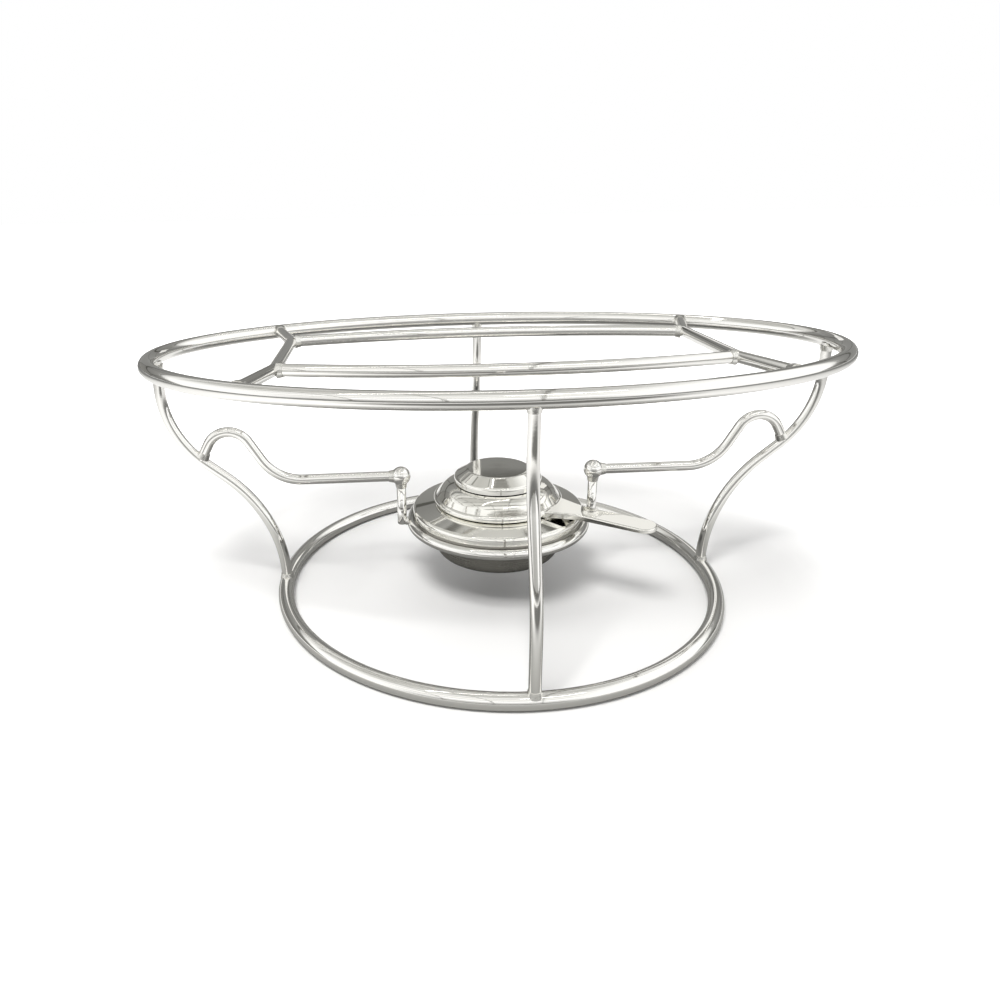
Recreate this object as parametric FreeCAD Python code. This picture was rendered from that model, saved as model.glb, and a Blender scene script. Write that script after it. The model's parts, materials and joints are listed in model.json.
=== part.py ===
import FreeCAD, Part
import math
import os

# Spirit burner in an oval wire stand, millimetres. +X runs along the oval, +Z is up, and the
# origin is on the floor under the burner's axis.

# ---- driving dimensions ---------------------------------------------------------------

# wire diameters
RING_WIRE = 8.0           # top oval and base ring
BAR_WIRE = 6.0            # the four wires of the pan support
LEG_WIRE = 5.5
ARM_WIRE = 5.4
ROD_WIRE = 5.0
CARRIER_WIRE = 5.5

# stand
HEIGHT = 134.0            # floor to the top of the oval
OVAL_LENGTH = 348.0       # along X, on the wire's centreline
OVAL_WIDTH = 199.0        # along Y, on the wire's centreline
BASE_RADIUS = 116.0       # base ring, on the wire's centreline

# legs: upright under the oval, slanting between two corners that bends round off, upright again
SIDE_LEG_INSET = 2.1      # side leg inside the end of the oval, centreline to centreline
SIDE_LEG_KNEE = 40.4      # its upper corner, below the oval's centreline
SIDE_LEG_KNEE_BEND = 52.0 # radius
SIDE_LEG_LOW_BEND = 76.0  # radius
LEG_ANKLE = 44.2          # height of the lower corner of all four legs
END_LEG_KNEE = 34.0       # upper corner of the front and back legs, below the oval's centreline
END_LEG_RADIUS = 90.0     # radius of both their bends

# pan support inside the oval: an end wire near each end, and two bars between them
END_INSET = 65.5          # middle run of an end wire inside the end of the oval
END_CORNER = 35.0         # its corners from the oval's long axis, where the bars meet it
END_FLARE = 17.0          # degrees that its outer runs turn outward from there
END_BEND = 15.0           # radius of its corners
BAR_SPREAD = 48.7         # bars from the oval's long axis, at their middle
SUPPORT_DROP = 0.5        # top of these four wires below the top of the oval

# arms that carry the burner
ARM_ROOT_DROP = 13.5      # where an arm leaves its leg, below the leg's upper corner
ARM_PEAK_INSET = 14.4     # corner of the hump, inward from the root
ARM_PEAK_RISE = 26.8      # and above it
ARM_DIP_INSET = 23.5      # corner where the arm levels out, inward from the hump's corner
ARM_LEVEL = 63.5          # height of the level run
ARM_PEAK_BEND = 11.6
ARM_DIP_BEND = 24.3
BALL_DIAMETER = 10.2
ROD_SPREAD = 51.8         # balls and hanging rods, from the axis
ROD_BELOW_RING = 1.4      # how far a rod ends below the middle of the carrier ring
CARRIER_LEVEL = 37.5      # height of the carrier ring's centreline

# joints
WELD_GAP = 0.15           # root gap that a weld bridges
WELD_LEG = 1.3            # how far a bead climbs its wire
WELD_CROWN = 0.9          # how far it stands out round the wire
WELD_TOE = 0.25           # thickness of its far edge
WELD_START = 0.6          # share of the host's radius, from its centreline, where a bead starts
WELD_DRESSED = 0.05       # beads under the pan ground off, below the top of the oval
COPE = 1.3                # how far a coped wire end stops short of the other centreline
STRAIGHT_SHARE = 0.97     # most of a wire's run that its bends may take up

# burner, all pressed sheet
SHEET = 0.8
SEAT_GAP = 0.2            # burner flange above the carrier ring
FLANGE_RADIUS = 46.2
BOWL_MOUTH = 34.0         # outer radius of the bowl under its flange
BOWL_FOOT = 33.0          # outer radius of the bowl at its foot
FOOT_LEVEL = 19.0         # underside of the bowl
FOOT_BEND = 4.0
COVER_RADIUS = 45.8       # outside of the cover's skirt
COVER_SHOULDER = 45.5     # height of the skirt's top edge
COVER_CROWN = 48.0        # height of the cover under the regulator's rim
COVER_FLAT = 49.2         # height of the cover at the foot of its neck
NECK_RADIUS = 20.5        # outside of the neck round the flame
NECK_TOP = 60.6
PAD_HEIGHT = 18.0
PAD_CLEARANCE = 0.4
GAUZE = 0.6
GAUZE_WIRE = 1.6

# regulator
TURN_GAP = 0.4            # sleeve to neck
RIM_RADIUS = 34.5         # outside of the rolled rim
RIM_ROLL = 3.6            # diameter of the roll
RIM_LIFT = 0.3            # roll above the cover
DOME_TOP = 59.4
DOME_WAIST_RADIUS = 28.5  # corner of the dome's outline, which its bend rounds off
DOME_WAIST = 57.2
DOME_BEND = 10.0
PORTS = 6
PORT_WIDTH = 7.0
PORT_HEIGHT = 3.2
PORT_LEVEL = 55.0         # middle of the ports
TURN = 30.0               # degrees that the regulator turns
LUG_WIDTH = 2.4
LUG_HEIGHT = 1.2
HANDLE_ANGLE = -35.0      # degrees from +X, seen from above
HANDLE_TIP = 86.5         # from the axis
HANDLE_TIP_WIDTH = 14.2
HANDLE_WAIST = 48.0       # from the axis
HANDLE_WAIST_WIDTH = 11.9
HANDLE_ROOT_WIDTH = 24.5
HANDLE_DEPTH = 3.3        # of its turned-down edge, at the rim
HANDLE_TIP_DEPTH = 1.9
HANDLE_PITCH = 0.9        # degrees that it falls towards the tip
HANDLE_FLARE = 38.0       # radius where the handle widens to the rim
HANDLE_EDGE = 0.7         # radius of its pressed edge
HANDLE_DROP = 0.3         # handle top below the top of the rolled rim

# snuffer cap
CAP_RADIUS = 23.4
CAP_SEAT = 0.25           # wall above the regulator
CAP_SHOULDER = 62.7       # height of the top of the cap's wall
CAP_TOP = 66.5
CAP_FLAT_RADIUS = 16.4    # corner of the flat top, which its bend rounds off
CAP_BEND = 2.2

# ---- values that follow ---------------------------------------------------------------

TOP_LEVEL = HEIGHT - RING_WIRE / 2
BASE_LEVEL = RING_WIRE / 2
SIDE_LEG_TOP = OVAL_LENGTH / 2 - SIDE_LEG_INSET
SUPPORT_LEVEL = HEIGHT - SUPPORT_DROP - BAR_WIRE / 2
BALL_LEVEL = ARM_LEVEL
CARRIER_RADIUS = ROD_SPREAD - (ROD_WIRE + CARRIER_WIRE) / 2 - WELD_GAP
FLANGE_LEVEL = CARRIER_LEVEL + CARRIER_WIRE / 2 + SEAT_GAP + SHEET / 2
FLANGE_TOP = FLANGE_LEVEL + SHEET / 2
PAD_TOP = FOOT_LEVEL + SHEET + PAD_HEIGHT
SLEEVE_RADIUS = NECK_RADIUS + TURN_GAP + SHEET / 2
ROLL_RADIUS = RIM_RADIUS - RIM_ROLL / 2
ROLL_LEVEL = COVER_CROWN + RIM_LIFT + RIM_ROLL / 2
UP = FreeCAD.Vector(0, 0, 1)
ORIGIN = FreeCAD.Vector(0, 0, 0)


# ---- geometry helpers -----------------------------------------------------------------

def in_xz(points):
    return [FreeCAD.Vector(x, 0, z) for x, z in points]


def in_yz(points):
    return [FreeCAD.Vector(0, y, z) for y, z in points]


def bent(points, radii):
    """Edges of straight runs joined by tangent arcs, one radius for each inner corner."""
    edges = []
    start = points[0]
    for corner, before, after, radius in zip(points[1:-1], points[:-2], points[2:], radii):
        back = (before - corner).normalize()
        on = (after - corner).normalize()
        half = back.getAngle(on) / 2
        reach = radius / math.tan(half)
        to_centre = (back + on).normalize()
        middle = corner + to_centre * (radius / math.sin(half) - radius)
        first = corner + back * reach
        last = corner + on * reach
        edges.append(Part.LineSegment(start, first).toShape())
        edges.append(Part.Arc(first, middle, last).toShape())
        start = last
    edges.append(Part.LineSegment(start, points[-1]).toShape())
    return edges


def fitted(points, radii):
    """Bend radii, each limited by the runs on both sides of its corner."""
    reaches = [0.0]
    for corner, before, after, radius in zip(points[1:-1], points[:-2], points[2:], radii):
        reaches.append(radius / math.tan((before - corner).getAngle(after - corner) / 2))
    reaches.append(0.0)
    room = []
    for start, end, first, last in zip(points[:-1], points[1:], reaches[:-1], reaches[1:]):
        room.append(min(1.0, STRAIGHT_SHARE * (end - start).Length / (first + last)))
    return [radius * min(before, after)
            for radius, before, after in zip(radii, room[:-1], room[1:])]


def rod_along(edges, diameter):
    """A round wire swept along tangent edges."""
    path = Part.Wire(edges)
    start = path.Edges[0].valueAt(path.Edges[0].FirstParameter)
    along = path.Edges[0].tangentAt(path.Edges[0].FirstParameter)
    section = Part.Wire(Part.makeCircle(diameter / 2, start, along))
    return path.makePipeShell([section], True, False)


def round_bar(start, end, diameter):
    axis = end - start
    return Part.makeCylinder(diameter / 2, axis.Length, start, axis)


def largest(shape):
    return max(shape.Solids, key=lambda solid: solid.Volume)


def coped(wire, *hosts):
    """The wire with its end cut to the shape of the wires that it meets."""
    for host in hosts:
        wire = wire.cut(host)
    return largest(wire)


def collar(end, along, diameter, host_radius, *wires, lean=math.pi / 2):
    """Weld bead round a wire's end, where it meets a host wire of host_radius.

    end lies on the host's centreline, along points back up the wire, and lean is the angle
    between the two wires: on the narrow side of a leaning wire, the host reaches further up it.
    """
    along = FreeCAD.Vector(along).normalize()
    inset = host_radius * WELD_START
    start = end + along * inset
    hidden = (host_radius + diameter / 2 * math.cos(lean)) / math.sin(lean)
    length = hidden - inset + WELD_LEG
    wide = diameter / 2 + WELD_CROWN
    bead = Part.makeCone(wide, diameter / 2 + WELD_TOE, length, start, along)
    for wire in wires:
        bead = bead.cut(wire)
    return largest(bead)


def mirrored(shape, normal):
    return shape.mirror(ORIGIN, FreeCAD.Vector(normal))


def offset(points, distance):
    """The open outline moved to its left by distance, with mitred corners."""
    normals = []
    for (x0, z0), (x1, z1) in zip(points[:-1], points[1:]):
        length = math.hypot(x1 - x0, z1 - z0)
        normals.append((-(z1 - z0) / length, (x1 - x0) / length))
    moved = [(points[0][0] + normals[0][0] * distance, points[0][1] + normals[0][1] * distance)]
    for (x, z), (ax, az), (bx, bz) in zip(points[1:-1], normals[:-1], normals[1:]):
        share = distance / (1 + ax * bx + az * bz)
        moved.append((x + (ax + bx) * share, z + (az + bz) * share))
    moved.append((points[-1][0] + normals[-1][0] * distance,
                  points[-1][1] + normals[-1][1] * distance))
    return moved


def turns(points):
    """+1 where the outline turns left at an inner corner, -1 where it turns right."""
    signs = []
    for (ax, az), (bx, bz), (cx, cz) in zip(points[:-2], points[1:-1], points[2:]):
        signs.append(math.copysign(1, (bx - ax) * (cz - bz) - (bz - az) * (cx - bx)))
    return signs


def pressed(points, radii, thickness):
    """Sheet of one thickness turned about Z: points and bend radii are of its middle line."""
    signs = turns(points)
    left = bent(in_xz(offset(points, thickness / 2)),
                [radius - sign * thickness / 2 for radius, sign in zip(radii, signs)])
    right = bent(in_xz(offset(points, -thickness / 2)),
                 [radius + sign * thickness / 2 for radius, sign in zip(radii, signs)])
    first = Part.LineSegment(right[0].Vertexes[0].Point, left[0].Vertexes[0].Point).toShape()
    last = Part.LineSegment(left[-1].Vertexes[-1].Point, right[-1].Vertexes[-1].Point).toShape()
    outline = Part.Wire(Part.__sortEdges__([first] + left + [last] + right))
    return Part.Face(outline).revolve(ORIGIN, UP, 360)


def disc(radius, low, high, edge=0.0):
    """Round plate, with its lower edge rounded off."""
    plate = Part.makeCylinder(radius, high - low, FreeCAD.Vector(0, 0, low))
    if edge:
        lower = [e for e in plate.Edges if e.BoundBox.ZMax < low + edge / 2]
        plate = plate.makeFillet(edge, lower)
    return plate


def ring_sector(inner, outer, low, high, start, sweep):
    """Part of a square ring round Z, from start through sweep, in degrees."""
    corners = in_xz([(inner, low), (outer, low), (outer, high), (inner, high), (inner, low)])
    sector = Part.Face(Part.makePolygon(corners)).revolve(ORIGIN, UP, sweep)
    sector.rotate(ORIGIN, UP, start)
    return sector


# ---- stand ----------------------------------------------------------------------------

def oval_ring():
    ellipse = Part.Ellipse(FreeCAD.Vector(0, 0, TOP_LEVEL), OVAL_LENGTH / 2, OVAL_WIDTH / 2)
    path = Part.Wire(ellipse.toShape())
    tip = FreeCAD.Vector(OVAL_LENGTH / 2, 0, TOP_LEVEL)
    section = Part.Wire(Part.makeCircle(RING_WIRE / 2, tip, FreeCAD.Vector(0, 1, 0)))
    shell = path.makePipeShell([section], False, True)
    return Part.Solid(Part.Shell(shell.Faces))


def base_ring():
    return Part.makeTorus(BASE_RADIUS, RING_WIRE / 2, FreeCAD.Vector(0, 0, BASE_LEVEL))


def end_corner():
    """Corner of the +X end wire on the +Y side."""
    return FreeCAD.Vector(OVAL_LENGTH / 2 - END_INSET, END_CORNER, SUPPORT_LEVEL)


def end_flare():
    """Unit direction of the end wire's outer run, from that corner to the oval."""
    turn = math.radians(END_FLARE)
    return FreeCAD.Vector(math.sin(turn), math.cos(turn), 0)


def end_on_oval():
    """Where the outer run reaches the oval's centreline, seen from above, by bisection."""
    low, high = 0.0, OVAL_WIDTH
    for _ in range(60):
        middle = (low + high) / 2
        spot = end_corner() + end_flare() * middle
        inside = (2 * spot.x / OVAL_LENGTH) ** 2 + (2 * spot.y / OVAL_WIDTH) ** 2 < 1
        low, high = (middle, high) if inside else (low, middle)
    return spot


def support_end(oval):
    half = [end_on_oval() - end_flare() * COPE, end_corner()]
    points = half + [FreeCAD.Vector(p.x, -p.y, p.z) for p in reversed(half)]
    return coped(rod_along(bent(points, fitted(points, [END_BEND, END_BEND])), BAR_WIRE), oval)


def bar_line():
    """The bar's bow on the +Y side, between the end wires, short of both centrelines."""
    end = end_corner()
    rise = BAR_SPREAD - end.y
    radius = (end.x ** 2 + rise ** 2) / (2 * rise)
    centre_y = BAR_SPREAD - radius
    x = end.x - COPE
    y = centre_y + math.sqrt(radius ** 2 - x ** 2)
    middle = FreeCAD.Vector(0, BAR_SPREAD, end.z)
    return Part.Arc(FreeCAD.Vector(-x, y, end.z), middle, FreeCAD.Vector(x, y, end.z))


def support_bar(ends):
    return coped(rod_along([bar_line().toShape()], BAR_WIRE), *ends)


def side_leg_line():
    points = in_xz([(SIDE_LEG_TOP, TOP_LEVEL - COPE), (SIDE_LEG_TOP, TOP_LEVEL - SIDE_LEG_KNEE),
                    (BASE_RADIUS, LEG_ANKLE), (BASE_RADIUS, BASE_LEVEL + COPE)])
    return bent(points, fitted(points, [SIDE_LEG_KNEE_BEND, SIDE_LEG_LOW_BEND]))


def end_leg_line():
    top = OVAL_WIDTH / 2
    points = in_yz([(top, TOP_LEVEL - COPE), (top, TOP_LEVEL - END_LEG_KNEE),
                    (BASE_RADIUS, LEG_ANKLE), (BASE_RADIUS, BASE_LEVEL + COPE)])
    return bent(points, fitted(points, [END_LEG_RADIUS, END_LEG_RADIUS]))


def leg(line, rings):
    return coped(rod_along(line, LEG_WIRE), *rings)


def arm_root():
    """Point on the side leg's centreline where the arm leaves it."""
    level = TOP_LEVEL - SIDE_LEG_KNEE - ARM_ROOT_DROP
    across = Part.LineSegment(*in_xz([(0, level), (SIDE_LEG_TOP + LEG_WIRE, level)])).toShape()
    return Part.Wire(side_leg_line()).distToShape(across)[1][0][0]


def arm_peak():
    """Corner of the arm's hump."""
    return arm_root() + FreeCAD.Vector(-ARM_PEAK_INSET, 0, ARM_PEAK_RISE)


def arm_rise():
    """Unit direction in which the arm leaves the leg."""
    return (arm_peak() - arm_root()).normalize()


def arm(side_leg, ball):
    peak = arm_peak()
    points = [arm_root() + arm_rise() * COPE, peak]
    points += in_xz([(peak.x - ARM_DIP_INSET, ARM_LEVEL), (ROD_SPREAD, ARM_LEVEL)])
    wire = rod_along(bent(points, fitted(points, [ARM_PEAK_BEND, ARM_DIP_BEND])), ARM_WIRE)
    return coped(wire, side_leg, ball)


def ball():
    return Part.makeSphere(BALL_DIAMETER / 2, FreeCAD.Vector(ROD_SPREAD, 0, BALL_LEVEL))


def rod(finial):
    low = FreeCAD.Vector(ROD_SPREAD, 0, CARRIER_LEVEL - ROD_BELOW_RING)
    bar = round_bar(low, FreeCAD.Vector(ROD_SPREAD, 0, BALL_LEVEL), ROD_WIRE)
    bottom = [e for e in bar.Edges if e.BoundBox.ZMax < low.z + 0.01]
    return coped(bar.makeFillet(ROD_WIRE / 8, bottom), finial)


def carrier_ring():
    return Part.makeTorus(CARRIER_RADIUS, CARRIER_WIRE / 2, FreeCAD.Vector(0, 0, CARRIER_LEVEL))


def on_every_side(one):
    """A shape and its three mirror images across X and Y."""
    pair = [one, mirrored(one, (0, 1, 0))]
    return pair + [mirrored(shape, (1, 0, 0)) for shape in pair]


def leg_collars(host, legs, level, spots, direction):
    """One weld bead per leg where it meets a ring."""
    beads = []
    for spot, wire in zip(spots, legs):
        at = FreeCAD.Vector(spot[0], spot[1], level)
        beads.append(collar(at, direction, LEG_WIRE, RING_WIRE / 2, wire, host))
    return Part.makeCompound(beads)


def dressed(bead):
    """The bead ground off, so that the pan clears it."""
    size = 4 * BAR_WIRE
    top = HEIGHT - WELD_DRESSED
    middle = bead.CenterOfMass
    stone = Part.makeBox(size, size, size, FreeCAD.Vector(middle.x - size / 2,
                                                          middle.y - size / 2, top))
    return largest(bead.cut(stone))


def end_collars(oval, wire):
    """Beads between the end wires and the oval."""
    end = end_on_oval()
    tangent = FreeCAD.Vector(end.y / OVAL_WIDTH ** 2, -end.x / OVAL_LENGTH ** 2, 0)
    bead = collar(end, -end_flare(), BAR_WIRE, RING_WIRE / 2, wire, oval,
                  lean=tangent.getAngle(-end_flare()))
    return Part.makeCompound(on_every_side(dressed(bead)))


def bar_collars(bar, wire):
    """Beads between the bars and the end wires' corners."""
    along = bar_line().EndPoint - end_corner()
    half_turn = math.radians(END_FLARE) / 2
    host = FreeCAD.Vector(math.sin(half_turn), math.cos(half_turn), 0)
    bead = collar(end_corner(), along, BAR_WIRE, BAR_WIRE / 2, bar, wire,
                  lean=host.getAngle(along))
    return Part.makeCompound(on_every_side(dressed(bead)))


def arm_collars(side_leg, wire):
    slant = FreeCAD.Vector(SIDE_LEG_TOP - BASE_RADIUS, 0, TOP_LEVEL - SIDE_LEG_KNEE - LEG_ANKLE)
    bead = collar(arm_root(), arm_rise(), ARM_WIRE, LEG_WIRE / 2, wire, side_leg,
                  lean=slant.getAngle(arm_rise()))
    return Part.makeCompound([bead, mirrored(bead, (1, 0, 0))])


def ball_collars(finial, hanging, level_arm):
    """Beads under the ball, round the rod, and behind it, round the arm."""
    centre = FreeCAD.Vector(ROD_SPREAD, 0, BALL_LEVEL)
    under = collar(centre, -UP, ROD_WIRE, BALL_DIAMETER / 2, hanging, finial)
    behind = collar(centre, FreeCAD.Vector(1, 0, 0), ARM_WIRE, BALL_DIAMETER / 2, level_arm, finial)
    beads = [under, behind]
    return Part.makeCompound(beads + [mirrored(bead, (1, 0, 0)) for bead in beads])


def carrier_beads(ring, hanging):
    """Weld bead between the carrier ring and each rod."""
    touch = FreeCAD.Vector(CARRIER_RADIUS + (CARRIER_WIRE + WELD_GAP) / 2, 0, CARRIER_LEVEL)
    blob = Part.makeSphere(WELD_LEG + WELD_CROWN, touch)
    bead = largest(blob.cut(ring).cut(hanging))
    return Part.makeCompound([bead, mirrored(bead, (1, 0, 0))])


# ---- burner ---------------------------------------------------------------------------

def fuel_bowl():
    middle = SHEET / 2
    points = [(FLANGE_RADIUS, FLANGE_LEVEL), (BOWL_MOUTH - middle, FLANGE_LEVEL),
              (BOWL_FOOT - middle, FOOT_LEVEL + middle), (0, FOOT_LEVEL + middle)]
    return pressed(points, [2 * SHEET, FOOT_BEND], SHEET)


def wool_pad():
    radius = BOWL_FOOT - SHEET - PAD_CLEARANCE
    return disc(radius, FOOT_LEVEL + SHEET, PAD_TOP, FOOT_BEND)


def gauze_level():
    return PAD_TOP + GAUZE


def wire_gauze():
    return disc(BOWL_FOOT - SHEET - PAD_CLEARANCE, PAD_TOP, gauze_level())


def gauze_ring():
    level = gauze_level() + GAUZE_WIRE / 2
    radius = BOWL_FOOT - SHEET - PAD_CLEARANCE - GAUZE_WIRE / 2
    return Part.makeTorus(radius, GAUZE_WIRE / 2, FreeCAD.Vector(0, 0, level))


def ports(inner, outer, first):
    """Cutters for the air ports round the neck, starting at an angle in degrees."""
    cutters = []
    for index in range(PORTS):
        low = FreeCAD.Vector(inner, -PORT_WIDTH / 2, PORT_LEVEL - PORT_HEIGHT / 2)
        box = Part.makeBox(outer - inner, PORT_WIDTH, PORT_HEIGHT, low)
        box.rotate(ORIGIN, UP, first + index * 360 / PORTS)
        cutters.append(box)
    return cutters


def lug_angle():
    """Degrees that the stop lug takes up on the neck."""
    return math.degrees(LUG_WIDTH / NECK_RADIUS)


def sleeve_foot():
    """Lower edge of the regulator's sleeve."""
    return COVER_FLAT + SHEET + TURN_GAP


def burner_cover():
    middle = SHEET / 2
    neck = NECK_RADIUS - middle
    points = [(COVER_RADIUS - middle, FLANGE_TOP), (COVER_RADIUS - middle, COVER_SHOULDER - middle),
              (ROLL_RADIUS, COVER_CROWN - middle), (neck, COVER_FLAT - middle),
              (neck, NECK_TOP)]
    shell = pressed(points, [2 * SHEET, 8 * SHEET, 1.5 * SHEET], SHEET)
    for cutter in ports(neck - SHEET, neck + SHEET, HANDLE_ANGLE):
        shell = shell.cut(cutter)
    lug = ring_sector(neck, NECK_RADIUS + TURN_GAP + SHEET, sleeve_foot(),
                      sleeve_foot() + LUG_HEIGHT, HANDLE_ANGLE - lug_angle() / 2, lug_angle())
    return largest(shell.fuse(lug))


def handle():
    """Pressed strip, open below, that widens into the regulator's rim; it points along +X."""
    top = ROLL_LEVEL + RIM_ROLL / 2 - HANDLE_DROP
    root = ROLL_RADIUS - RIM_ROLL
    half = [(root, HANDLE_ROOT_WIDTH / 2), (HANDLE_WAIST, HANDLE_WAIST_WIDTH / 2),
            (HANDLE_TIP, HANDLE_TIP_WIDTH / 2)]
    corners = [FreeCAD.Vector(x, y, top) for x, y in half]
    corners += [FreeCAD.Vector(x, -y, top) for x, y in reversed(half)]
    tip_bend = 0.45 * HANDLE_TIP_WIDTH
    edges = bent(corners, [HANDLE_FLARE, tip_bend, tip_bend, HANDLE_FLARE])
    edges.append(Part.LineSegment(corners[-1], corners[0]).toShape())
    outline = Part.Face(Part.Wire(edges))
    down = FreeCAD.Vector(0, 0, -HANDLE_DEPTH)
    taper = in_xz([(root, top - HANDLE_DEPTH), (HANDLE_TIP, top - HANDLE_DEPTH),
                   (HANDLE_TIP, top - HANDLE_TIP_DEPTH), (root, top - HANDLE_DEPTH)])
    under = Part.Face(Part.makePolygon(taper)).extrude(FreeCAD.Vector(0, HANDLE_ROOT_WIDTH, 0))
    under.translate(FreeCAD.Vector(0, -HANDLE_ROOT_WIDTH / 2, 0))
    block = outline.extrude(down).cut(under)
    upper = [e for e in block.Edges
             if e.BoundBox.ZMin > top - HANDLE_EDGE / 2 and e.BoundBox.XMax > root + SHEET]
    block = block.makeFillet(HANDLE_EDGE, upper)
    hollow = outline.makeOffset2D(-SHEET).extrude(down)
    hollow.translate(FreeCAD.Vector(0, 0, -SHEET))
    strip = block.cut(hollow)
    strip.rotate(FreeCAD.Vector(ROLL_RADIUS, 0, top), FreeCAD.Vector(0, 1, 0), HANDLE_PITCH)
    bore = Part.makeCylinder(ROLL_RADIUS, HEIGHT)
    return largest(strip.cut(bore))


def dome_points():
    """Middle line of the regulator's sheet, from its rim to the foot of its sleeve."""
    middle = SHEET / 2
    return [(ROLL_RADIUS, ROLL_LEVEL + RIM_ROLL / 2 - middle), (DOME_WAIST_RADIUS, DOME_WAIST),
            (SLEEVE_RADIUS, DOME_TOP - middle), (SLEEVE_RADIUS, sleeve_foot())]


def regulator():
    dome = pressed(dome_points(), [DOME_BEND, 1.5 * SHEET], SHEET)
    roll = Part.makeTorus(ROLL_RADIUS, RIM_ROLL / 2, FreeCAD.Vector(0, 0, ROLL_LEVEL))
    for cutter in ports(SLEEVE_RADIUS - SHEET, SLEEVE_RADIUS + SHEET, HANDLE_ANGLE + TURN):
        dome = dome.cut(cutter)
    spare = lug_angle() / 2 + math.degrees(TURN_GAP / NECK_RADIUS)
    notch = ring_sector(NECK_RADIUS, SLEEVE_RADIUS + SHEET, sleeve_foot() - SHEET,
                        sleeve_foot() + LUG_HEIGHT + TURN_GAP, HANDLE_ANGLE - spare,
                        TURN + 2 * spare)
    grip = handle()
    grip.rotate(ORIGIN, UP, HANDLE_ANGLE)
    return largest(dome.cut(notch).fuse(roll).fuse(grip))


def cap_base():
    """Lower edge of the cap's wall, just above the slope of the regulator's dome."""
    (waist_r, waist_z), (top_r, top_z) = dome_points()[1:3]
    slope = (top_z - waist_z) / (waist_r - top_r)
    inside = CAP_RADIUS - SHEET
    return waist_z + slope * (waist_r - inside) + SHEET / 2 * math.hypot(1, slope) + CAP_SEAT


def snuffer_cap():
    middle = SHEET / 2
    wall = CAP_RADIUS - middle
    points = [(wall, cap_base()), (wall, CAP_SHOULDER - middle),
              (CAP_FLAT_RADIUS, CAP_TOP - middle), (0, CAP_TOP - middle)]
    return pressed(points, [2 * SHEET, CAP_BEND], SHEET)


# ---- the whole ------------------------------------------------------------------------

def build():
    oval = oval_ring()
    base = base_ring()
    right_end = support_end(oval)
    left_end = mirrored(right_end, (1, 0, 0))
    back_bar = support_bar([right_end, left_end])
    right_leg = leg(side_leg_line(), [oval, base])
    back_leg = leg(end_leg_line(), [oval, base])
    right_ball = ball()
    right_rod = rod(right_ball)
    right_arm = arm(right_leg, right_ball)
    carrier = carrier_ring()
    left_leg = mirrored(right_leg, (1, 0, 0))
    front_leg = mirrored(back_leg, (0, 1, 0))
    legs = [right_leg, left_leg, back_leg, front_leg]
    tops = [(SIDE_LEG_TOP, 0), (-SIDE_LEG_TOP, 0), (0, OVAL_WIDTH / 2), (0, -OVAL_WIDTH / 2)]
    feet = [(BASE_RADIUS, 0), (-BASE_RADIUS, 0), (0, BASE_RADIUS), (0, -BASE_RADIUS)]
    return {
        "top_ring": oval,
        "base_ring": base,
        "support_end_right": right_end,
        "support_end_left": left_end,
        "support_bar_back": back_bar,
        "support_bar_front": mirrored(back_bar, (0, 1, 0)),
        "leg_right": right_leg,
        "leg_left": left_leg,
        "leg_back": back_leg,
        "leg_front": front_leg,
        "arm_right": right_arm,
        "arm_left": mirrored(right_arm, (1, 0, 0)),
        "ball_right": right_ball,
        "ball_left": mirrored(right_ball, (1, 0, 0)),
        "rod_right": right_rod,
        "rod_left": mirrored(right_rod, (1, 0, 0)),
        "carrier_ring": carrier,
        "leg_top_welds": leg_collars(oval, legs, TOP_LEVEL, tops, -UP),
        "leg_foot_welds": leg_collars(base, legs, BASE_LEVEL, feet, UP),
        "support_end_welds": end_collars(oval, right_end),
        "bar_end_welds": bar_collars(back_bar, right_end),
        "arm_root_welds": arm_collars(right_leg, right_arm),
        "ball_welds": ball_collars(right_ball, right_rod, right_arm),
        "carrier_welds": carrier_beads(carrier, right_rod),
        "fuel_bowl": fuel_bowl(),
        "wool_pad": wool_pad(),
        "wire_gauze": wire_gauze(),
        "gauze_ring": gauze_ring(),
        "burner_cover": burner_cover(),
        "regulator": regulator(),
        "snuffer_cap": snuffer_cap(),
    }


os.makedirs("parts", exist_ok=True)
for node, shape in build().items():
    print(node, len(shape.Solids), shape.isValid(), round(shape.Volume, 2))
    shape.exportStep("parts/" + node + ".step")
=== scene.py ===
import json
import math

import bpy
from mathutils import Matrix, Vector


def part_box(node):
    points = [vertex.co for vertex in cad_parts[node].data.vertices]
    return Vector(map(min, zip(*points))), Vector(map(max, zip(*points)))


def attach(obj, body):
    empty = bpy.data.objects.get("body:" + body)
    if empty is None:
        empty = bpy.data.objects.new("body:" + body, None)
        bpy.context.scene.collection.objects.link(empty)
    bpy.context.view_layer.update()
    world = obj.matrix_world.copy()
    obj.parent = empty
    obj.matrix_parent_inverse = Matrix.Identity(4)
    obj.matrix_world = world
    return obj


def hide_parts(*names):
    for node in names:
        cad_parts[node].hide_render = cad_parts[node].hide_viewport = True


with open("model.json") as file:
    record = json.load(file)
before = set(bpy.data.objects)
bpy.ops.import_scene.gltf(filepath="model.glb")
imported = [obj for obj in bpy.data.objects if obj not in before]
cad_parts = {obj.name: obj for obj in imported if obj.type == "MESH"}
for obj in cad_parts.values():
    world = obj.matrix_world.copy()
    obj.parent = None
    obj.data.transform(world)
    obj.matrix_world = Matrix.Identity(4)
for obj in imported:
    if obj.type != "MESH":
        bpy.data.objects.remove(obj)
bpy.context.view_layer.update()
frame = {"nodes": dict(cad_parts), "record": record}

nodes = frame["nodes"]
scene = bpy.context.scene
MM = 0.001

# ---- the stand's wires: sizes and bends as the part has them, in millimetres -----------

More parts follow.
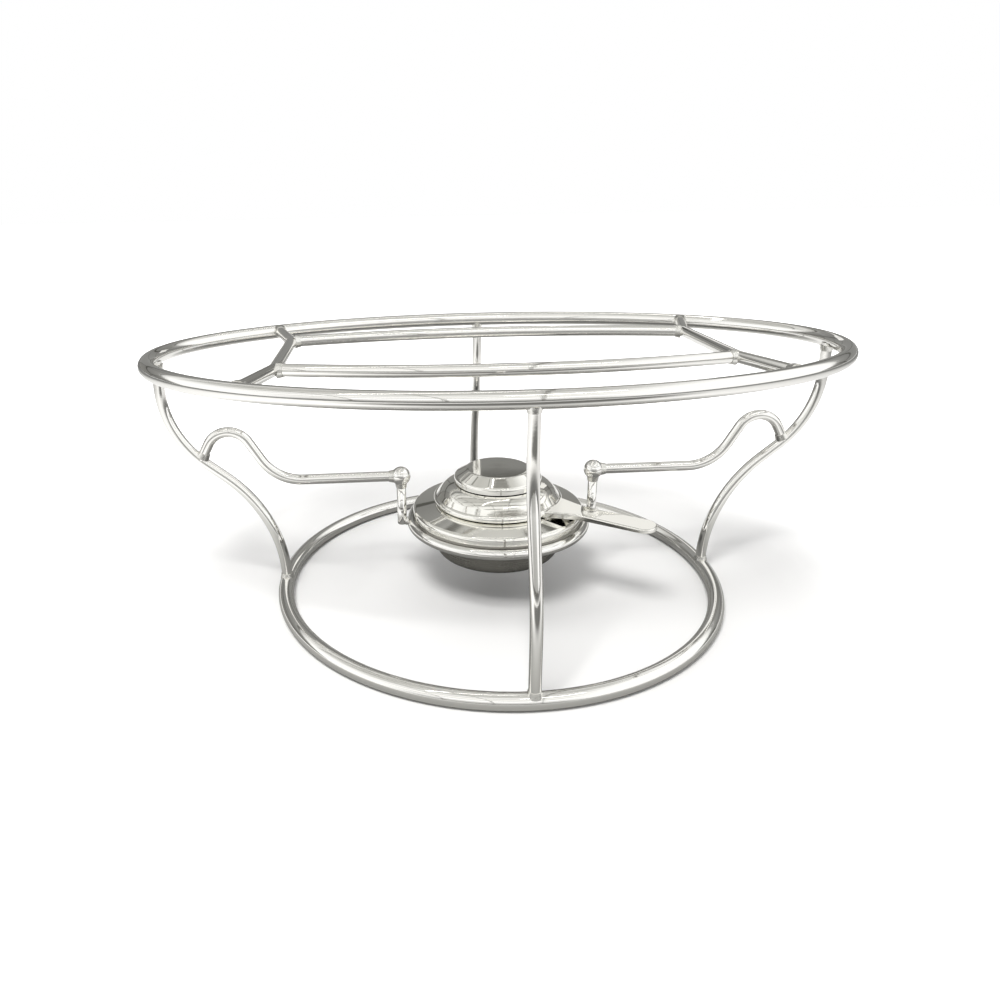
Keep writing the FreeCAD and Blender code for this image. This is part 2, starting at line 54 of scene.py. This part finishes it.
OVAL_LENGTH, OVAL_WIDTH, BASE_RADIUS = 348.0, 199.0, 116.0
RING_WIRE, BAR_WIRE, LEG_WIRE, ARM_WIRE, ROD_WIRE, CARRIER_WIRE = 8.0, 6.0, 5.5, 5.4, 5.0, 5.5
TOP_LEVEL, BASE_LEVEL, CARRIER_LEVEL, BALL_LEVEL = 130.0, 4.0, 37.5, 63.5
SUPPORT_LEVEL, END_X, END_CORNER, BAR_SPREAD = 130.5, 108.5, 35.0, 48.7
END_FLARE, END_BEND = 17.0, 15.0     # degrees; bend radius
END_RUN = 36.0                       # outer run of an end wire, from its corner into the oval
CARRIER_RADIUS, ROD_SPREAD, ROD_FOOT, BALL_DIAMETER = 46.4, 51.8, 36.1, 10.2
LEG_ANKLE, SIDE_LEG_TOP, SIDE_LEG_KNEE, END_LEG_KNEE = 44.2, 171.9, 89.6, 96.0
SIDE_LEG_BENDS, END_LEG_BENDS, ARM_BENDS = (52.0, 76.0), (90.0, 90.0), (11.6, 24.3)
ARM_ROOT, ARM_PEAK, ARM_DIP = (155.278, 76.1), (140.878, 102.9), (117.378, 63.5)     # x, z
GAUZE_PITCH = 1.6
BURIED = 1.0              # how far a wire's end runs into the wire that it meets

# how finely the meshes are drawn
TOP_RING_STEPS, BASE_RING_STEPS, CARRIER_STEPS, BAR_STEPS = 360, 288, 192, 48
WIRE_SIDES, ROD_SIDES, BALL_SIDES, GAUZE_SIDES = 32, 32, 48, 6
GAUZE_STEPS = 4           # points of a gauze wire between one crossing and the next


# ---- small helpers --------------------------------------------------------------------

def linear(code):
    """An sRGB hex colour as the linear RGBA that shaders take."""
    parts = [int(code[i:i + 2], 16) / 255 for i in (1, 3, 5)]
    return [c / 12.92 if c <= 0.04045 else ((c + 0.055) / 1.055) ** 2.4 for c in parts] + [1.0]


def add(tree, kind, links=None, **settings):
    """Adds one node: settings are its properties, links its inputs' values or sources."""
    made = tree.nodes.new(kind)
    for name, value in settings.items():
        setattr(made, name, value)
    for socket, source in (links or {}).items():
        if isinstance(source, bpy.types.NodeSocket):
            tree.links.new(source, made.inputs[socket])
        else:
            made.inputs[socket].default_value = source
    return made


def fill_ramp(ramp, tones):
    """Sets a new colour ramp's stops: (position, sRGB hex) from first to last."""
    for element, (position, colour) in zip(ramp.elements, (tones[0], tones[-1])):
        element.position = position
        element.color = linear(colour)
    for position, colour in tones[1:-1]:
        ramp.elements.new(position).color = linear(colour)


def metal(name, colour, roughness):
    """A bare metal surface, and the tree that its pattern is added to."""
    made = bpy.data.materials.new(name)
    made.use_nodes = True
    shader = made.node_tree.nodes["Principled BSDF"]
    shader.inputs["Base Color"].default_value = linear(colour)
    shader.inputs["Metallic"].default_value = 1.0
    shader.inputs["Roughness"].default_value = roughness
    return made, made.node_tree, shader


# ---- materials ------------------------------------------------------------------------

def electropolished_wire():
    """Cold-drawn stainless wire, bent, welded and electropolished.

    It is close to a mirror. The acid bath leaves a faint orange peel about 1.5 mm across,
    the die's drawing marks show as specks, and wiping leaves cloudy patches of a centimetre.
    """
    made, tree, shader = metal("electropolished_stainless_wire", "#F0EFEC", 0.05)
    place = add(tree, "ShaderNodeTexCoord").outputs["Object"]
    clouds = add(tree, "ShaderNodeTexNoise", {"Vector": place, "Scale": 90.0, "Detail": 3.0})
    dull = add(tree, "ShaderNodeMapRange", {0: clouds.outputs[0], 3: 0.02, 4: 0.09})
    tree.links.new(dull.outputs[0], shader.inputs["Roughness"])
    peel = add(tree, "ShaderNodeTexNoise", {"Vector": place, "Scale": 620.0, "Detail": 3.0})
    bump = add(tree, "ShaderNodeBump", {"Height": peel.outputs[0], "Strength": 0.15,
                                        "Distance": 0.05 * MM})
    tree.links.new(bump.outputs[0], shader.inputs["Normal"])
    return made


def weld_metal():
    """Bead of melted stainless filler, buffed over.

    It is bright, and keeps ripples of under half a millimetre.
    """
    made, tree, shader = metal("buffed_stainless_weld", "#E4E3DF", 0.16)
    place = add(tree, "ShaderNodeTexCoord").outputs["Object"]
    ripple = add(tree, "ShaderNodeTexNoise", {"Vector": place, "Scale": 1400.0, "Detail": 2.0})
    dull = add(tree, "ShaderNodeMapRange", {0: ripple.outputs[0], 3: 0.1, 4: 0.3})
    tree.links.new(dull.outputs[0], shader.inputs["Roughness"])
    bump = add(tree, "ShaderNodeBump", {"Height": ripple.outputs[0], "Strength": 0.5,
                                        "Distance": 0.15 * MM})
    tree.links.new(bump.outputs[0], shader.inputs["Normal"])
    return made


def spun_sheet(name, colour, low, high, line_height):
    """Stainless sheet spun or drawn to shape and polished on the lathe.

    The mop leaves rings round the axis, 0.3 to 0.8 mm apart, and fingers leave dull patches.
    """
    made, tree, shader = metal(name, colour, (low + high) / 2)
    place = add(tree, "ShaderNodeTexCoord").outputs["Object"]
    flat = add(tree, "ShaderNodeVectorMath", {0: place, 1: (1.0, 1.0, 0.0)}, operation="MULTIPLY")
    radius = add(tree, "ShaderNodeVectorMath", {0: flat.outputs[0]}, operation="LENGTH")
    height = add(tree, "ShaderNodeSeparateXYZ", {0: place})
    along = add(tree, "ShaderNodeMath", {0: radius.outputs["Value"], 1: height.outputs[2]},
                operation="SUBTRACT")
    rings = add(tree, "ShaderNodeTexNoise", {"W": along.outputs[0], "Scale": 1800.0,
                                             "Detail": 3.0}, noise_dimensions="1D")
    smudges = add(tree, "ShaderNodeTexNoise", {"Vector": place, "Scale": 70.0, "Detail": 4.0})
    both = add(tree, "ShaderNodeMath", {0: rings.outputs[0], 1: smudges.outputs[0]},
               operation="MULTIPLY")
    dull = add(tree, "ShaderNodeMapRange", {0: both.outputs[0], 3: low, 4: high})
    tree.links.new(dull.outputs[0], shader.inputs["Roughness"])
    bump = add(tree, "ShaderNodeBump", {"Height": rings.outputs[0], "Strength": 0.3,
                                        "Distance": line_height})
    tree.links.new(bump.outputs[0], shader.inputs["Normal"])
    return made


def mineral_wool():
    """Packed mineral wool, off-white, scorched a little by the flame: matt and fibrous."""
    made = bpy.data.materials.new("packed_mineral_wool")
    made.use_nodes = True
    tree = made.node_tree
    shader = tree.nodes["Principled BSDF"]
    shader.inputs["Roughness"].default_value = 0.95
    place = add(tree, "ShaderNodeTexCoord").outputs["Object"]
    fibres = add(tree, "ShaderNodeTexNoise", {"Vector": place, "Scale": 900.0, "Detail": 6.0,
                                              "Distortion": 2.0})
    colours = add(tree, "ShaderNodeValToRGB", {0: fibres.outputs[0]})
    colours.color_ramp.elements[0].color = linear("#A79A83")
    colours.color_ramp.elements[1].color = linear("#EFE9DA")
    tree.links.new(colours.outputs[0], shader.inputs["Base Color"])
    bump = add(tree, "ShaderNodeBump", {"Height": fibres.outputs[0], "Strength": 0.8,
                                        "Distance": 0.4 * MM})
    tree.links.new(bump.outputs[0], shader.inputs["Normal"])
    return made


def gauze_wire():
    """Plain woven steel wire, dulled by heat to straw and brown in patches."""
    made, tree, shader = metal("heat_dulled_gauze_wire", "#8E8A80", 0.42)
    place = add(tree, "ShaderNodeTexCoord").outputs["Object"]
    tint = add(tree, "ShaderNodeTexNoise", {"Vector": place, "Scale": 120.0, "Detail": 3.0})
    colours = add(tree, "ShaderNodeValToRGB", {0: tint.outputs[0]})
    colours.color_ramp.elements[0].color = linear("#6F675C")
    colours.color_ramp.elements[1].color = linear("#A5A096")
    tree.links.new(colours.outputs[0], shader.inputs["Base Color"])
    return made


# ---- round wire, made by Geometry Nodes -----------------------------------------------

def round_wire_tree():
    """Sweeps a circle along a path of edges: the same for every ring, leg, arm and bar."""
    tree = bpy.data.node_groups.new("round_wire", "GeometryNodeTree")
    face = tree.interface
    face.new_socket("Path", in_out="INPUT", socket_type="NodeSocketGeometry")
    face.new_socket("Diameter", in_out="INPUT", socket_type="NodeSocketFloat")
    face.new_socket("Sides", in_out="INPUT", socket_type="NodeSocketInt")
    face.new_socket("Finish", in_out="INPUT", socket_type="NodeSocketMaterial")
    face.new_socket("Wire", in_out="OUTPUT", socket_type="NodeSocketGeometry")
    given = add(tree, "NodeGroupInput")
    radius = add(tree, "ShaderNodeMath", {0: given.outputs["Diameter"], 1: 0.5},
                 operation="MULTIPLY")
    section = add(tree, "GeometryNodeCurvePrimitiveCircle",
                  {"Resolution": given.outputs["Sides"], "Radius": radius.outputs[0]})
    path = add(tree, "GeometryNodeMeshToCurve", {"Mesh": given.outputs["Path"]})
    swept = add(tree, "GeometryNodeCurveToMesh",
                {"Curve": path.outputs[0], "Profile Curve": section.outputs[0],
                 "Fill Caps": True})
    smooth = add(tree, "GeometryNodeSetShadeSmooth", {"Geometry": swept.outputs[0]})
    real = add(tree, "GeometryNodeRealizeInstances", {"Geometry": smooth.outputs[0]})
    finish = add(tree, "GeometryNodeSetMaterial",
                 {"Geometry": real.outputs[0], "Material": given.outputs["Finish"]})
    add(tree, "NodeGroupOutput", {0: finish.outputs[0]})
    return tree


def made_by(tree, name, source, inputs):
    """A plain mesh object: what the tree makes of source, with its inputs set by identifier."""
    draft = bpy.data.objects.new(name + "_draft", source)
    scene.collection.objects.link(draft)
    modifier = draft.modifiers.new("make", "NODES")
    modifier.node_group = tree
    ids = {item.name: item.identifier for item in tree.interface.items_tree}
    for key, value in inputs.items():
        modifier[ids[key]] = value
    shape = draft.evaluated_get(bpy.context.evaluated_depsgraph_get())
    mesh = bpy.data.meshes.new_from_object(shape)
    draft.modifiers.remove(modifier)
    bpy.data.objects.remove(draft)
    mesh.name = name
    made = bpy.data.objects.new(name, mesh)
    scene.collection.objects.link(made)
    return made


def bent(points, radii, step=3.0):
    """Points of a path with its corners rounded: a bend radius for each, a point every step.

    The step is in degrees.
    """
    path = [Vector(points[0])]
    for corner, before, after, radius in zip(points[1:-1], points[:-2], points[2:], radii):
        corner = Vector(corner)
        back = (Vector(before) - corner).normalized()
        on = (Vector(after) - corner).normalized()
        half = back.angle(on) / 2
        centre = corner + (back + on).normalized() * (radius / math.sin(half))
        first = corner + back * (radius / math.tan(half)) - centre
        turn = math.pi - 2 * half
        axis = back.cross(first)
        count = max(4, round(math.degrees(turn) / step))
        for index in range(count + 1):
            path.append(centre + Matrix.Rotation(turn * index / count, 3, axis) @ first)
    path.append(Vector(points[-1]))
    return path


def closed_oval(length, width, level, count):
    """Points of a level ellipse."""
    turn = [2 * math.pi * index / count for index in range(count)]
    return [Vector((length / 2 * math.cos(t), width / 2 * math.sin(t), level)) for t in turn]


def mirrored(path, axis):
    """The same path on the other side of the stand."""
    flip = Vector([-1 if index == axis else 1 for index in range(3)])
    return [point * flip for point in path]


def woven_gauze(tree, finish):
    """Plain weave of thin steel wire, cut round: each wire passes over one and under the next."""
    low, high = (Vector(corner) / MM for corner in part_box("wire_gauze"))
    centre = (low + high) / 2
    diameter = (high.z - low.z) / 2
    reach = (high.x - low.x) / 2 - diameter
    count = int(reach / GAUZE_PITCH)
    points, edges = [], []
    for along, across, start in ((0, 1, 0.0), (1, 0, math.pi)):
        for row in range(-count, count + 1):
            offset = row * GAUZE_PITCH
            half = int(math.sqrt(max(reach ** 2 - offset ** 2, 0)) / GAUZE_PITCH * GAUZE_STEPS)
            for index in range(-half, half + 1):
                place = centre.copy()
                place[along] += index * GAUZE_PITCH / GAUZE_STEPS
                place[across] += offset
                wave = math.cos(math.pi * (index / GAUZE_STEPS + row) + start)
                place.z += 0.98 * diameter / 2 * wave
                if index > -half:
                    edges.append((len(points) - 1, len(points)))
                points.append(place * MM)
    mesh = bpy.data.meshes.new("gauze_path")
    mesh.from_pydata(points, edges, [])
    made = made_by(tree, "wire_gauze", mesh, {"Diameter": diameter * MM,
                                              "Sides": GAUZE_SIDES, "Finish": finish})
    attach(made, "burner")
    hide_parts("wire_gauze")


def wire_piece(tree, name, path, diameter, finish, closed=False):
    """One wire of the stand, in place of the CAD node of the same name."""
    mesh = bpy.data.meshes.new(name + "_path")
    edges = [(index, index + 1) for index in range(len(path) - 1)]
    if closed:
        edges.append((len(path) - 1, 0))
    mesh.from_pydata([point * MM for point in path], edges, [])
    made = made_by(tree, name, mesh, {"Diameter": diameter * MM, "Sides": WIRE_SIDES,
                                      "Finish": finish})
    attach(made, "stand")
    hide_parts(name)
    return made


def stand_wires(tree, finish):
    """Rings, pan supports, legs and arms: each bent wire and its mirror image."""
    rings = (("top_ring", OVAL_LENGTH, OVAL_WIDTH, TOP_LEVEL, TOP_RING_STEPS, RING_WIRE),
             ("base_ring", 2 * BASE_RADIUS, 2 * BASE_RADIUS, BASE_LEVEL, BASE_RING_STEPS,
              RING_WIRE),
             ("carrier_ring", 2 * CARRIER_RADIUS, 2 * CARRIER_RADIUS, CARRIER_LEVEL,
              CARRIER_STEPS, CARRIER_WIRE))
    for name, length, width, level, steps, diameter in rings:
        path = closed_oval(length, width, level, steps)
        wire_piece(tree, name, path, diameter, finish, closed=True)

    flare = math.radians(END_FLARE)
    tip = (END_X + END_RUN * math.sin(flare), END_CORNER + END_RUN * math.cos(flare))
    half = [(*tip, SUPPORT_LEVEL), (END_X, END_CORNER, SUPPORT_LEVEL)]
    end_wire = bent(half + [(x, -y, z) for x, y, z in reversed(half)], [END_BEND, END_BEND])
    rise = BAR_SPREAD - END_CORNER
    radius = (END_X ** 2 + rise ** 2) / (2 * rise)
    spots = [(END_X - BURIED) * (2 * index / BAR_STEPS - 1) for index in range(BAR_STEPS + 1)]
    bar = [Vector((x, BAR_SPREAD - radius + math.sqrt(radius ** 2 - x * x), SUPPORT_LEVEL))
           for x in spots]
    side_leg = bent([(SIDE_LEG_TOP, 0, TOP_LEVEL - BURIED), (SIDE_LEG_TOP, 0, SIDE_LEG_KNEE),
                     (BASE_RADIUS, 0, LEG_ANKLE), (BASE_RADIUS, 0, BASE_LEVEL + BURIED)],
                    SIDE_LEG_BENDS, step=2.0)
    end_leg = bent([(0, OVAL_WIDTH / 2, TOP_LEVEL - BURIED), (0, OVAL_WIDTH / 2, END_LEG_KNEE),
                    (0, BASE_RADIUS, LEG_ANKLE), (0, BASE_RADIUS, BASE_LEVEL + BURIED)],
                   END_LEG_BENDS, step=1.0)
    arm = bent([(ARM_ROOT[0], 0, ARM_ROOT[1]), (ARM_PEAK[0], 0, ARM_PEAK[1]),
                (ARM_DIP[0], 0, ARM_DIP[1]), (ROD_SPREAD + BURIED, 0, BALL_LEVEL)], ARM_BENDS)
    for name, path, diameter, axis in (("support_end_right", end_wire, BAR_WIRE, 0),
                                       ("support_bar_back", bar, BAR_WIRE, 1),
                                       ("leg_right", side_leg, LEG_WIRE, 0),
                                       ("leg_back", end_leg, LEG_WIRE, 1),
                                       ("arm_right", arm, ARM_WIRE, 0)):
        other = name.replace("right", "left").replace("back", "front")
        wire_piece(tree, name, path, diameter, finish)
        wire_piece(tree, other, mirrored(path, axis), diameter, finish)


# ---- turned pieces --------------------------------------------------------------------

def turned(name, outline, centre, finish, sides):
    """A solid of revolution about an upright axis: outline is (radius, height) from its foot."""
    points, faces, rows = [], [], []
    for radius, level in outline:
        if radius < 1e-6:
            rows.append([len(points)] * sides)
            points.append(Vector((centre[0], centre[1], level)) * MM)
            continue
        rows.append(list(range(len(points), len(points) + sides)))
        for index in range(sides):
            turn = 2 * math.pi * index / sides
            points.append(Vector((centre[0] + radius * math.cos(turn),
                                  centre[1] + radius * math.sin(turn), level)) * MM)
    for low, high in zip(rows[:-1], rows[1:]):
        for index in range(sides):
            after = (index + 1) % sides
            corners = [low[index], low[after], high[after], high[index]]
            faces.append(list(dict.fromkeys(corners)))
    mesh = bpy.data.meshes.new(name)
    mesh.from_pydata(points, [], faces)
    mesh.shade_smooth()
    mesh.materials.append(finish)
    made = bpy.data.objects.new(name, mesh)
    scene.collection.objects.link(made)
    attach(made, "stand")
    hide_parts(name)
    return made


def balls_and_rods(finish):
    """Polished balls, and the rods under them, their lower ends rounded off."""
    ball = [(BALL_DIAMETER / 2 * math.cos(math.radians(a)),
             BALL_LEVEL + BALL_DIAMETER / 2 * math.sin(math.radians(a)))
            for a in range(-90, 91, 6)]
    ball[0], ball[-1] = (0, ball[0][1]), (0, ball[-1][1])
    edge = ROD_WIRE / 8
    rod = [(0, ROD_FOOT), (ROD_WIRE / 2 - edge, ROD_FOOT)]
    rod += [(ROD_WIRE / 2 - edge * (1 - math.sin(math.radians(a))),
             ROD_FOOT + edge * (1 - math.cos(math.radians(a)))) for a in (20, 45, 70, 90)]
    rod += [(ROD_WIRE / 2, BALL_LEVEL - BURIED), (0, BALL_LEVEL - BURIED)]
    for side, x in (("right", ROD_SPREAD), ("left", -ROD_SPREAD)):
        turned("ball_" + side, ball, (x, 0), finish, BALL_SIDES)
        turned("rod_" + side, rod, (x, 0), finish, ROD_SIDES)


def dress(finishes):
    """Gives each CAD node the finish of its slot in the record."""
    for part in frame["record"]["subparts"]:
        mesh = nodes[part["node"]].data
        mesh.materials.clear()
        mesh.materials.append(finishes[part["material_slot"]])


# ---- camera, floor and light ----------------------------------------------------------

CAMERA_PLACE, CAMERA_ANGLES = (-0.0554, -0.3880, 0.2075), (3.11, 18.57, -0.99)
SENSOR, LENS, SHIFT_X, SHIFT_Y = 36.0, 27.96, 0.0667, -0.0492


def set_camera():
    """A short lens just above the stand's near side, looking down on it by 18.6 degrees.

    Its angles are yaw, pitch downwards and roll.
    """
    yaw, pitch, roll = (math.radians(angle) for angle in CAMERA_ANGLES)
    right = Vector((math.cos(yaw), -math.sin(yaw), 0))
    ahead = Vector((math.sin(yaw) * math.cos(pitch), math.cos(yaw) * math.cos(pitch),
                    -math.sin(pitch)))
    up = right.cross(ahead)
    tilted_right = right * math.cos(roll) + up * math.sin(roll)
    tilted_up = up * math.cos(roll) - right * math.sin(roll)
    data = bpy.data.cameras.new("camera")
    data.sensor_width = SENSOR
    data.lens = LENS
    data.shift_x = SHIFT_X
    data.shift_y = SHIFT_Y
    data.clip_start = 0.01
    camera = bpy.data.objects.new("camera", data)
    scene.collection.objects.link(camera)
    turn = Matrix((tilted_right, tilted_up, -ahead)).transposed()
    camera.matrix_world = Matrix.Translation(CAMERA_PLACE) @ turn.to_4x4()
    scene.camera = camera


def seen(tree, to_camera, to_metal):
    """One shader for the camera, and another for what the metal mirrors."""
    way = add(tree, "ShaderNodeLightPath").outputs["Is Camera Ray"]
    return add(tree, "ShaderNodeMixShader", {0: way, 1: to_metal, 2: to_camera}).outputs[0]


# what the metal mirrors below: tones by the distance in metres from the burner's axis, with
# painted shade under the stand and far off, and a painted shadow of the camera, a grey oval
# patch on the camera's side, its centre and its half lengths in metres
FLOOR_HALF = 6.0
FLOOR_SHADE_TONES = ((0.1, "#8A8A88"), (0.15, "#B4B4B2"), (0.22, "#FFFFFF"), (0.5, "#F6F6F5"),
               (0.9, "#B5B5B3"))
CAMERA_SHADE_PLACE, CAMERA_SHADE_SCALE, CAMERA_SHADE_TONE = (-0.12, 1.8, 0.0), (3.1, 5.0, 1.0), "#6E6E6C"
GLOW_START, GLOW_END = 0.15, 0.3     # where the table fades into the backdrop, in metres


def pale_floor():
    """A matt white table that fades into the white backdrop, as the camera sees it.

    The metal mirrors another one: grey under the stand, white round it, grey far off, and
    with a darker patch on the camera's side, all painted shade: the grey stands for the
    shade under the stand and far off, the patch for the camera's shadow. This one isn't plain.
    """
    mesh = bpy.data.meshes.new("floor")
    corners = [(x * FLOOR_HALF, y * FLOOR_HALF, 0)
               for x, y in ((-1, -1), (1, -1), (1, 1), (-1, 1))]
    mesh.from_pydata(corners, [], [(0, 1, 2, 3)])
    floor = bpy.data.objects.new("floor", mesh)
    scene.collection.objects.link(floor)
    paint = bpy.data.materials.new("matt_white_table_painted_shade_in_mirror")
    paint.use_nodes = True
    tree = paint.node_tree
    tree.nodes.remove(tree.nodes["Principled BSDF"])
    place = add(tree, "ShaderNodeTexCoord").outputs["Object"]
    distance = add(tree, "ShaderNodeVectorMath", {0: place}, operation="LENGTH")
    glow = add(tree, "ShaderNodeMapRange",
               {0: distance.outputs["Value"], 1: GLOW_START, 2: GLOW_END, 4: 1.0},
               interpolation_type="SMOOTHSTEP")
    lit = add(tree, "ShaderNodeEmission", {"Strength": glow.outputs[0]})
    matt = add(tree, "ShaderNodeBsdfDiffuse", {"Color": linear("#F6F6F6")})
    white = add(tree, "ShaderNodeAddShader", {0: matt.outputs[0], 1: lit.outputs[0]})
    # painted shade: the table that the metal mirrors is darker under the stand and far off
    rings = add(tree, "ShaderNodeValToRGB", {0: distance.outputs["Value"]})
    fill_ramp(rings.color_ramp, FLOOR_SHADE_TONES)
    # painted shadow of the camera: a darker grey oval on the camera's side, seen only in the
    # metal
    patch = add(tree, "ShaderNodeMapping", {"Vector": place, "Location": CAMERA_SHADE_PLACE,
                                            "Scale": CAMERA_SHADE_SCALE})
    away = add(tree, "ShaderNodeVectorMath", {0: patch.outputs[0]}, operation="LENGTH")
    shade = add(tree, "ShaderNodeMapRange", {0: away.outputs["Value"], 1: 0.55, 2: 1.1},
                interpolation_type="SMOOTHSTEP")
    grey = add(tree, "ShaderNodeMix", {"Factor": shade.outputs[0], 6: linear(CAMERA_SHADE_TONE),
                                       7: rings.outputs[0]}, data_type="RGBA")
    table = add(tree, "ShaderNodeBsdfDiffuse", {"Color": grey.outputs[2]})
    out = tree.nodes["Material Output"]
    tree.links.new(seen(tree, white.outputs[0], table.outputs[0]), out.inputs["Surface"])
    mesh.materials.append(paint)


def softbox(name, place, target, size, power, mirrored_by_metal):
    """A rectangular lamp aimed at target: places and sizes in metres, power in watts."""
    data = bpy.data.lights.new(name, "AREA")
    data.shape = "RECTANGLE"
    data.size, data.size_y = size
    data.energy = power
    data.color = linear("#FFFEFC")[:3]
    lamp = bpy.data.objects.new(name, data)
    scene.collection.objects.link(lamp)
    lamp.location = place
    aim = Vector(target) - Vector(place)
    lamp.rotation_euler = aim.to_track_quat("-Z", "Y").to_euler()
    lamp.visible_camera = False
    lamp.visible_glossy = mirrored_by_metal


# what the metal mirrors overhead, from the horizon behind the camera (0), over the zenith
# (0.5), to the horizon behind the stand (1)
TENT = ((0.0, "#A5A5A3"), (0.05, "#B9B9B7"), (0.1, "#FFFFFF"), (0.3, "#FFFFFE"),
        (0.4, "#E4E4E2"), (0.5, "#D6D6D4"), (0.62, "#C6C6C4"), (0.72, "#DEDEDC"),
        (0.79, "#8E8E8C"), (0.86, "#7E7E7C"), (0.96, "#868684"), (1.0, "#9A9A98"))
TENT_LIGHT = 1.25
BACK_START, BACK_END = 0.7, 0.79     # the white side walls end here, on the same scale
WALL_CENTRE, WALL_START, WALL_END = -0.15, 0.45, 0.75     # by how far a direction leans to x
PANE_WIDTH, PANE_HEIGHT, FRAME_BAR = 0.36, 0.11, 0.008
DOME_LIGHT = 0.36         # what the tent gives the floor, beside the softboxes


def studio():
    """A white tent with a grey ridge, window frames in its roof, and dark behind the stand."""
    world = bpy.data.worlds.new("studio_tent")
    scene.world = world
    world.use_nodes = True
    tree = world.node_tree
    generated = add(tree, "ShaderNodeTexCoord").outputs["Generated"]
    way = add(tree, "ShaderNodeSeparateXYZ", {0: generated})
    ahead = add(tree, "ShaderNodeMath", {0: way.outputs[1], 1: -1.0}, operation="MULTIPLY")
    turn = add(tree, "ShaderNodeMath", {0: way.outputs[2], 1: ahead.outputs[0]},
               operation="ARCTAN2")
    share = add(tree, "ShaderNodeMath", {0: turn.outputs[0], 1: math.pi}, operation="DIVIDE")
    roof = add(tree, "ShaderNodeValToRGB", {0: share.outputs[0]})
    fill_ramp(roof.color_ramp, TENT)
    off = add(tree, "ShaderNodeMath", {0: way.outputs[0], 1: WALL_CENTRE}, operation="SUBTRACT")
    pane_place = add(tree, "ShaderNodeCombineXYZ", {0: off.outputs[0], 1: share.outputs[0]})
    panes = add(tree, "ShaderNodeTexBrick",
                {"Vector": pane_place.outputs[0], "Color1": linear("#FFFFFF"),
                 "Color2": linear("#E9E8E5"), "Mortar": linear("#A3A29E"), "Scale": 1.0,
                 "Mortar Size": FRAME_BAR, "Mortar Smooth": 0.3, "Brick Width": PANE_WIDTH,
                 "Row Height": PANE_HEIGHT}, offset=0.0)
    glazed = add(tree, "ShaderNodeMix", {"Factor": 1.0, 6: roof.outputs[0],
                                         7: panes.outputs[0]},
                 data_type="RGBA", blend_type="MULTIPLY")
    side = add(tree, "ShaderNodeMath", {0: off.outputs[0]}, operation="ABSOLUTE")
    wall = add(tree, "ShaderNodeMapRange", {0: side.outputs[0], 1: WALL_START, 2: WALL_END},
               interpolation_type="SMOOTHSTEP")
    ahead_of_back = add(tree, "ShaderNodeMapRange", {0: share.outputs[0], 1: BACK_START,
                                                     2: BACK_END, 3: 1.0, 4: 0.0})
    white_side = add(tree, "ShaderNodeMath", {0: wall.outputs[0], 1: ahead_of_back.outputs[0]},
                     operation="MULTIPLY")
    tent = add(tree, "ShaderNodeMix", {"Factor": white_side.outputs[0], 6: glazed.outputs[2],
                                       7: linear("#FAFAF9")}, data_type="RGBA")
    mirrored_tent = tree.nodes["Background"]
    mirrored_tent.inputs[1].default_value = TENT_LIGHT
    tree.links.new(tent.outputs[2], mirrored_tent.inputs[0])
    dome = add(tree, "ShaderNodeBackground", {0: linear("#FFFFFF"), 1: DOME_LIGHT})
    fill = add(tree, "ShaderNodeLightPath").outputs["Is Diffuse Ray"]
    around = add(tree, "ShaderNodeMixShader", {0: fill, 1: mirrored_tent.outputs[0],
                                               2: dome.outputs[0]})
    backdrop = add(tree, "ShaderNodeBackground", {0: linear("#FFFFFF")})
    out = tree.nodes["World Output"]
    tree.links.new(seen(tree, backdrop.outputs[0], around.outputs[0]),
                   out.inputs["Surface"])
    softbox("key_softbox", (-0.22, -0.5, 0.85), (0, 0, 0), (0.34, 0.26), 7.6, False)
    softbox("low_softbox", (0.1, 0.8, 0.42), (0, 0, 0), (1.5, 0.3), 2.4, False)
    softbox("tube_lamp", (-0.15, 0.12, 1.2), (0, 0, 0), (1.3, 0.018), 0.35, True)
    softbox("short_tube_lamp", (0.3, -0.5, 1.1), (0, 0, 0), (0.5, 0.02), 0.2, True)
    softbox("back_panel", (0.42, 1.06, 0.55), (0.04, -0.03, 0.05), (0.34, 0.2), 0.16, True)


set_camera()
pale_floor()
studio()
scene.view_settings.view_transform = "Standard"

wire, gauze = electropolished_wire(), gauze_wire()
sheet = spun_sheet("lathe_polished_stainless", "#F2F1EC", 0.02, 0.12, 0.015 * MM)
dress({"polished_wire": wire, "polished_ball": wire, "weld_metal": weld_metal(),
       "burner_sheet": sheet, "gauze_steel": gauze, "absorbent_wool": mineral_wool(),
       "bowl_sheet": spun_sheet("drawn_stainless_bowl", "#9D9B95", 0.2, 0.4, 0.03 * MM)})
round_wire = round_wire_tree()
stand_wires(round_wire, wire)
woven_gauze(round_wire, gauze)
balls_and_rods(wire)
